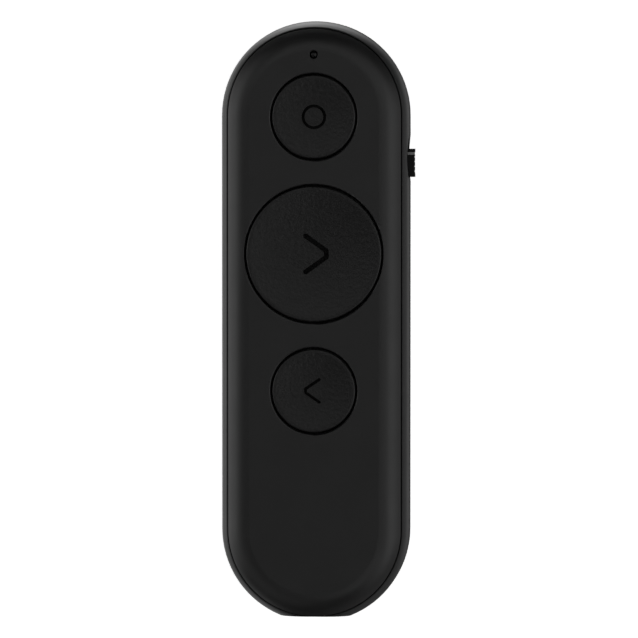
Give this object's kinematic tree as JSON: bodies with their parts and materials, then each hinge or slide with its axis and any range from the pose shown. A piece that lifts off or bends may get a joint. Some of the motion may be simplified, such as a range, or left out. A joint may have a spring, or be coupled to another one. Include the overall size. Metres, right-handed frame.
{
  "type": "presentation clicker",
  "caption": "Slim hand-held wireless presentation clicker with round press buttons, a side power switch, a laser in the nose, a battery door and a USB receiver in the tail.",
  "frame": {"origin": "middle of the flat back, on the surface that the clicker lies on", "axes": "+Z out of the face with the buttons, +Y towards the nose with the laser, +X towards the side with the power switch"},
  "size_m": [0.0394, 0.1212, 0.018],
  "materials": {
    "cover": "soft-touch black, very fine grain",
    "base": "fine spark-eroded grain, black",
    "button": "soft-touch black",
    "knob": "black, ribbed",
    "steel": "zinc plated",
    "nickel": "bright nickel plate",
    "black_resin": "moulded resin",
    "white_plastic": "moulded, off-white",
    "board": "green solder mask",
    "ceramic": "fired, plain",
    "copper": "bare copper",
    "led": "clear resin over phosphor",
    "clear_plastic": "clear, polished",
    "brass": "turned",
    "gold": "gold plate",
    "lens": "polished",
    "jacket": "shrink film, plain",
    "receiver_case": "fine grain, black"
  },
  "bodies": {
    "case": {"bottom_shell": "base", "top_shell": "cover", "case_screws": "steel", "circuit_board": "board", "board_screws": "steel", "pointer_key_base": "black_resin", "next_key_base": "black_resin", "back_key_base": "black_resin", "pointer_key_cover": "nickel", "next_key_cover": "nickel", "back_key_cover": "nickel", "power_switch_can": "nickel", "power_switch_base": "black_resin", "radio_chip": "black_resin", "radio_crystal": "nickel", "boost_coil": "black_resin", "chip_capacitors": "ceramic", "antenna_trace": "copper", "status_led": "led", "light_pipe": "clear_plastic", "laser_barrel": "brass", "laser_lens": "lens", "laser_diode": "gold", "battery_can": "nickel", "battery_jacket": "jacket", "positive_contact": "nickel", "negative_contact": "nickel", "negative_spring": "nickel"},
    "pointer_button": {"pointer_button": "button", "pointer_key_plunger": "white_plastic"},
    "next_button": {"next_button": "button", "next_key_plunger": "white_plastic"},
    "back_button": {"back_button": "button", "back_key_plunger": "white_plastic"},
    "power_knob": {"power_knob": "knob", "power_switch_lever": "white_plastic"},
    "battery_door": {"battery_door": "base"},
    "receiver": {"receiver_housing": "receiver_case", "receiver_plug": "nickel", "receiver_board": "board", "receiver_tongue": "white_plastic", "receiver_contacts": "gold"}
  },
  "joints": [
    {"name": "pointer_press", "type": "slide", "parent": "case", "child": "pointer_button", "axis": [0, 0, -1], "range_m": [0, 0.00035], "stiffness_N_per_m": 3000},
    {"name": "next_press", "type": "slide", "parent": "case", "child": "next_button", "axis": [0, 0, -1], "range_m": [0, 0.00035], "stiffness_N_per_m": 3000},
    {"name": "back_press", "type": "slide", "parent": "case", "child": "back_button", "axis": [0, 0, -1], "range_m": [0, 0.00035], "stiffness_N_per_m": 3000},
    {"name": "power_slide", "type": "slide", "parent": "case", "child": "power_knob", "axis": [0, 1, 0], "range_m": [0, 0.002]},
    {"name": "door_hinge", "type": "hinge", "parent": "case", "child": "battery_door", "pos_m": [0, -0.0415, 0], "axis": [-1, 0, 0], "range_deg": [0, 60]},
    {"name": "receiver_slide", "type": "slide", "parent": "case", "child": "receiver", "axis": [0, -1, 0], "range_m": [0, 0.02]}
  ]
}
